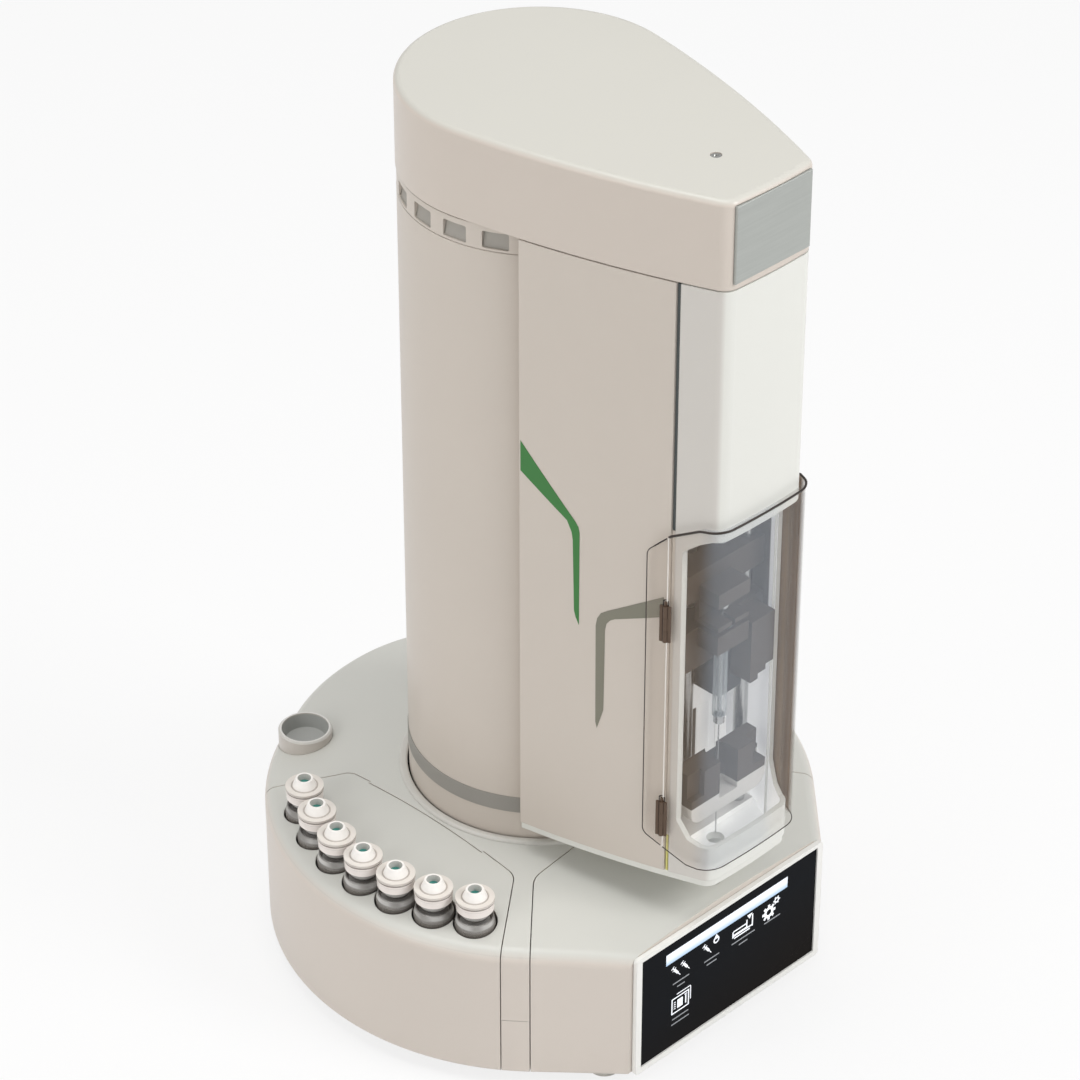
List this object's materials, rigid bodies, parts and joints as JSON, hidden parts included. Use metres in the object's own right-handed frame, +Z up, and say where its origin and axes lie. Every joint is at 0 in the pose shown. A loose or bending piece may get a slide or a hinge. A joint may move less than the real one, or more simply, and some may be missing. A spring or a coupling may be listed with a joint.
{
  "type": "laboratory autosampler",
  "caption": "Bench autosampler: a teardrop tower with a syringe drive behind a smoked door swivels over a round base with a vial tray and a touch panel.",
  "frame": {"origin": "on the floor, under the tower's swivel axis", "axes": "+Z up, -Y the way the display faces, the vial tray at -X"},
  "size_m": [0.3146, 0.3322, 0.548],
  "materials": {
    "housing_paint": "satin",
    "cover_plastic": "satin",
    "band_plastic": "matte",
    "bezel_plastic": "satin",
    "touch_panel": "gloss",
    "module_plastic": "matte",
    "port_steel": "brushed",
    "collar_aluminium": "satin",
    "cast_aluminium": "satin",
    "bearing_brass": "satin",
    "motor_black": "matte",
    "board_green": "matte",
    "foot_rubber": "matte",
    "pinion_plastic": "matte",
    "vial_glass": "gloss",
    "cap_white": "satin",
    "plate_steel": "satin",
    "bright_steel": "polished",
    "dark_plastic": "matte",
    "hinge_metal": "satin",
    "smoked_plastic": "gloss",
    "barrel_glass": "gloss"
  },
  "bodies": {
    "base": {"base_pan": "cover_plastic", "base_cover": "cover_plastic", "cup_holder": "cover_plastic", "display_housing": "cover_plastic", "display_bezel": "bezel_plastic", "touch_glass": "touch_panel", "display_module": "module_plastic", "waste_port": "port_steel", "injector_collar": "collar_aluminium", "column_ring": "cover_plastic", "swivel_pedestal": "cast_aluminium", "swivel_bearing": "bearing_brass", "swivel_motor": "motor_black", "control_board": "board_green", "power_inlet": "module_plastic", "data_ports": "module_plastic", "feet": "foot_rubber"},
    "switch": {"power_switch": "module_plastic"},
    "pinion": {"swivel_pinion": "pinion_plastic"},
    "tray": {"sample_tray": "cover_plastic"},
    "tower": {"column_shell": "housing_paint", "column_band": "band_plastic", "left_panel": "housing_paint", "right_panel": "housing_paint", "front_cover": "housing_paint", "tower_cap": "cover_plastic", "badge_plate": "plate_steel", "cap_screw": "bright_steel", "floor_plate": "cover_plastic", "swivel_hub": "cast_aluminium", "chassis": "cast_aluminium", "guide_shafts": "bright_steel", "lift_motor": "motor_black", "needle_guide": "dark_plastic", "door_strip": "smoked_plastic", "strip_hinges": "hinge_metal"},
    "door": {"smoked_door": "smoked_plastic", "door_hinges": "hinge_metal"},
    "lift_screw": {"lead_screw": "bright_steel"},
    "carriage": {"syringe_carriage": "dark_plastic", "syringe_barrel": "barrel_glass", "syringe_needle": "bright_steel", "plunger_motor": "motor_black"},
    "plunger_drive": {"plunger_screw": "bright_steel"},
    "plunger": {"plunger_carriage": "dark_plastic", "syringe_plunger": "bright_steel"},
    "vial_1": {"vial_glass_1": "vial_glass", "vial_cap_1": "cap_white"},
    "vial_2": {"vial_glass_2": "vial_glass", "vial_cap_2": "cap_white"},
    "vial_3": {"vial_glass_3": "vial_glass", "vial_cap_3": "cap_white"},
    "vial_4": {"vial_glass_4": "vial_glass", "vial_cap_4": "cap_white"},
    "vial_5": {"vial_glass_5": "vial_glass", "vial_cap_5": "cap_white"},
    "vial_6": {"vial_glass_6": "vial_glass", "vial_cap_6": "cap_white"},
    "vial_7": {"vial_glass_7": "vial_glass", "vial_cap_7": "cap_white"}
  },
  "joints": [
    {"name": "tower_swivel", "type": "hinge", "parent": "base", "child": "tower", "pos_m": [0, 0, 0.1], "axis": [0, 0, 1], "range_deg": [-150, 90]},
    {"name": "pinion_turn", "type": "hinge", "parent": "base", "child": "pinion", "pos_m": [0, 0.08, 0.082], "axis": [0, 0, 1], "range_deg": [-271, 451]},
    {"name": "door_hinge", "type": "hinge", "parent": "tower", "child": "door", "pos_m": [-0.04476, -0.1376, 0.25], "axis": [0, 0, -1], "range_deg": [0, 100]},
    {"name": "needle_lift", "type": "slide", "parent": "tower", "child": "carriage", "axis": [0, 0, -1], "range_m": [0, 0.04]},
    {"name": "lift_screw_turn", "type": "hinge", "parent": "tower", "child": "lift_screw", "pos_m": [0, -0.112, 0.3], "axis": [0, 0, 1], "range_deg": [0, 1801]},
    {"name": "plunger_lift", "type": "slide", "parent": "carriage", "child": "plunger", "axis": [0, 0, 1], "range_m": [0, 0.05]},
    {"name": "plunger_screw_turn", "type": "hinge", "parent": "carriage", "child": "plunger_drive", "pos_m": [0.016, -0.12, 0.3], "axis": [0, 0, 1], "range_deg": [0, 3601]},
    {"name": "tray_lift", "type": "slide", "parent": "base", "child": "tray", "axis": [0, 0, 1], "range_m": [0, 0.06]},
    {"name": "switch_rock", "type": "hinge", "parent": "base", "child": "switch", "pos_m": [0.002, 0.154, 0.02925], "axis": [1, 0, 0], "range_deg": [0, 24]},
    {"name": "vial_1_lift", "type": "slide", "parent": "tray", "child": "vial_1", "axis": [0, 0, 1], "range_m": [0, 0.05]},
    {"name": "vial_2_lift", "type": "slide", "parent": "tray", "child": "vial_2", "axis": [0, 0, 1], "range_m": [0, 0.05]},
    {"name": "vial_3_lift", "type": "slide", "parent": "tray", "child": "vial_3", "axis": [0, 0, 1], "range_m": [0, 0.05]},
    {"name": "vial_4_lift", "type": "slide", "parent": "tray", "child": "vial_4", "axis": [0, 0, 1], "range_m": [0, 0.05]},
    {"name": "vial_5_lift", "type": "slide", "parent": "tray", "child": "vial_5", "axis": [0, 0, 1], "range_m": [0, 0.05]},
    {"name": "vial_6_lift", "type": "slide", "parent": "tray", "child": "vial_6", "axis": [0, 0, 1], "range_m": [0, 0.05]},
    {"name": "vial_7_lift", "type": "slide", "parent": "tray", "child": "vial_7", "axis": [0, 0, 1], "range_m": [0, 0.05]}
  ],
  "couplings": [
    {"joint": "pinion_turn", "follows": "tower_swivel", "ratio": -3},
    {"joint": "lift_screw_turn", "follows": "needle_lift", "rad_per_m": 785.4},
    {"joint": "plunger_screw_turn", "follows": "plunger_lift", "rad_per_m": 1256.6}
  ]
}
